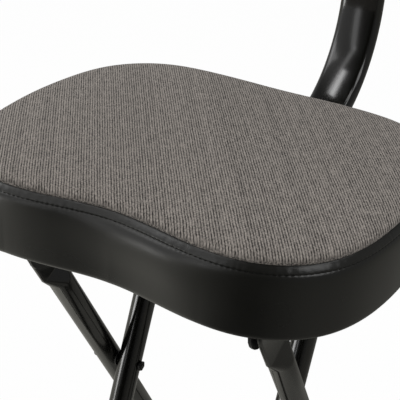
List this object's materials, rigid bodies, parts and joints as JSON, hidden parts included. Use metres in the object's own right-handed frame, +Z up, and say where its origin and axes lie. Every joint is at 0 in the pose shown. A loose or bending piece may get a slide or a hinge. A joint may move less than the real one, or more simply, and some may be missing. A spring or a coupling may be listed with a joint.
{
  "type": "guitar stool",
  "caption": "Folding padded stool for a guitar player, with a kidney-shaped seat on crossed tube legs, a foot rest and a backrest that slides in depth and height.",
  "frame": {"origin": "on the floor, under the middle of the whole stool's box", "axes": "+Z up, -Y the front of the seat, +X the sitter's left"},
  "size_m": [0.4104, 0.5754, 0.9428],
  "materials": {
    "black_paint": "gloss black",
    "black_steel": "satin black",
    "zinc_steel": "bright zinc",
    "black_rubber": "matt black",
    "black_plastic": "matt black",
    "black_vinyl": "satin black",
    "grey_cloth": "woven grey-brown",
    "foam": "open foam",
    "plywood": "raw",
    "dust_cloth": "black non-woven"
  },
  "bodies": {
    "outer_frame": {"outer_leg_left": "black_paint", "outer_leg_right": "black_paint", "rear_floor_bar": "black_paint", "foot_rear_left": "black_rubber", "foot_rear_right": "black_rubber", "cross_bolt_left": "black_steel", "cross_bolt_right": "black_steel", "cross_washer_left": "black_plastic", "cross_washer_right": "black_plastic", "cross_nut_left": "black_steel", "cross_nut_right": "black_steel", "seat_bolt_left": "black_steel", "seat_bolt_right": "black_steel", "seat_washer_left": "black_plastic", "seat_washer_right": "black_plastic", "seat_nut_left": "zinc_steel", "seat_nut_right": "zinc_steel"},
    "inner_frame": {"inner_leg_left": "black_paint", "inner_leg_right": "black_paint", "inner_leg_plug_left": "black_plastic", "inner_leg_plug_right": "black_plastic", "inner_top_bar": "black_paint", "foot_rest_bar": "black_paint", "foot_rest_grip": "black_rubber", "front_floor_bar": "black_paint", "foot_front_left": "black_rubber", "foot_front_right": "black_rubber"},
    "seat": {"seat_board": "plywood", "seat_foam": "foam", "seat_top_cover": "grey_cloth", "seat_side_cover": "black_vinyl", "seat_dust_cover": "dust_cloth", "front_bracket_left": "black_steel", "front_bracket_right": "black_steel", "bracket_screw_left_front": "zinc_steel", "bracket_screw_left_rear": "zinc_steel", "bracket_screw_right_front": "zinc_steel", "bracket_screw_right_rear": "zinc_steel", "rear_saddle_left": "black_plastic", "rear_saddle_right": "black_plastic", "saddle_screw_left": "zinc_steel", "saddle_screw_right": "zinc_steel", "bar_receiver": "black_paint", "receiver_screw_left_front": "zinc_steel", "receiver_screw_left_rear": "zinc_steel", "receiver_screw_right_front": "zinc_steel", "receiver_screw_right_rear": "zinc_steel"},
    "backrest_slide": {"backrest_bar": "black_paint", "backrest_bar_front_plug": "black_plastic", "backrest_bar_top_plug": "black_plastic"},
    "backrest": {"backrest_carrier": "black_paint", "backrest_board": "plywood", "backrest_foam": "foam", "backrest_cover": "grey_cloth", "backrest_screw_left": "zinc_steel", "backrest_screw_right": "zinc_steel"},
    "depth_knob": {"depth_knob": "black_plastic"},
    "height_knob": {"height_knob": "black_plastic"}
  },
  "joints": [
    {"name": "frame_fold", "type": "hinge", "parent": "outer_frame", "child": "inner_frame", "pos_m": [0, -0.10045, 0.3075], "axis": [1, 0, 0], "range_deg": [0, 47]},
    {"name": "seat_tilt", "type": "hinge", "parent": "outer_frame", "child": "seat", "pos_m": [0, -0.21865, 0.505], "axis": [1, 0, 0], "range_deg": [0, 47]},
    {"name": "backrest_depth", "type": "slide", "parent": "seat", "child": "backrest_slide", "axis": [0, 1, 0], "range_m": [-0.07, 0.03]},
    {"name": "backrest_height", "type": "slide", "parent": "backrest_slide", "child": "backrest", "axis": [0, 0.0698, 0.9976], "range_m": [-0.1, 0.02]},
    {"name": "depth_knob_turn", "type": "hinge", "parent": "seat", "child": "depth_knob", "pos_m": [0, 0.01164, 0.5106], "axis": [0, 0, -1], "range_deg": [0, 450]},
    {"name": "height_knob_turn", "type": "hinge", "parent": "backrest", "child": "height_knob", "pos_m": [0, 0.25035, 0.862], "axis": [0, 0.9976, -0.0698], "range_deg": [0, 450]}
  ],
  "couplings": [
    {"joint": "seat_tilt", "follows": "frame_fold", "ratio": 1}
  ]
}
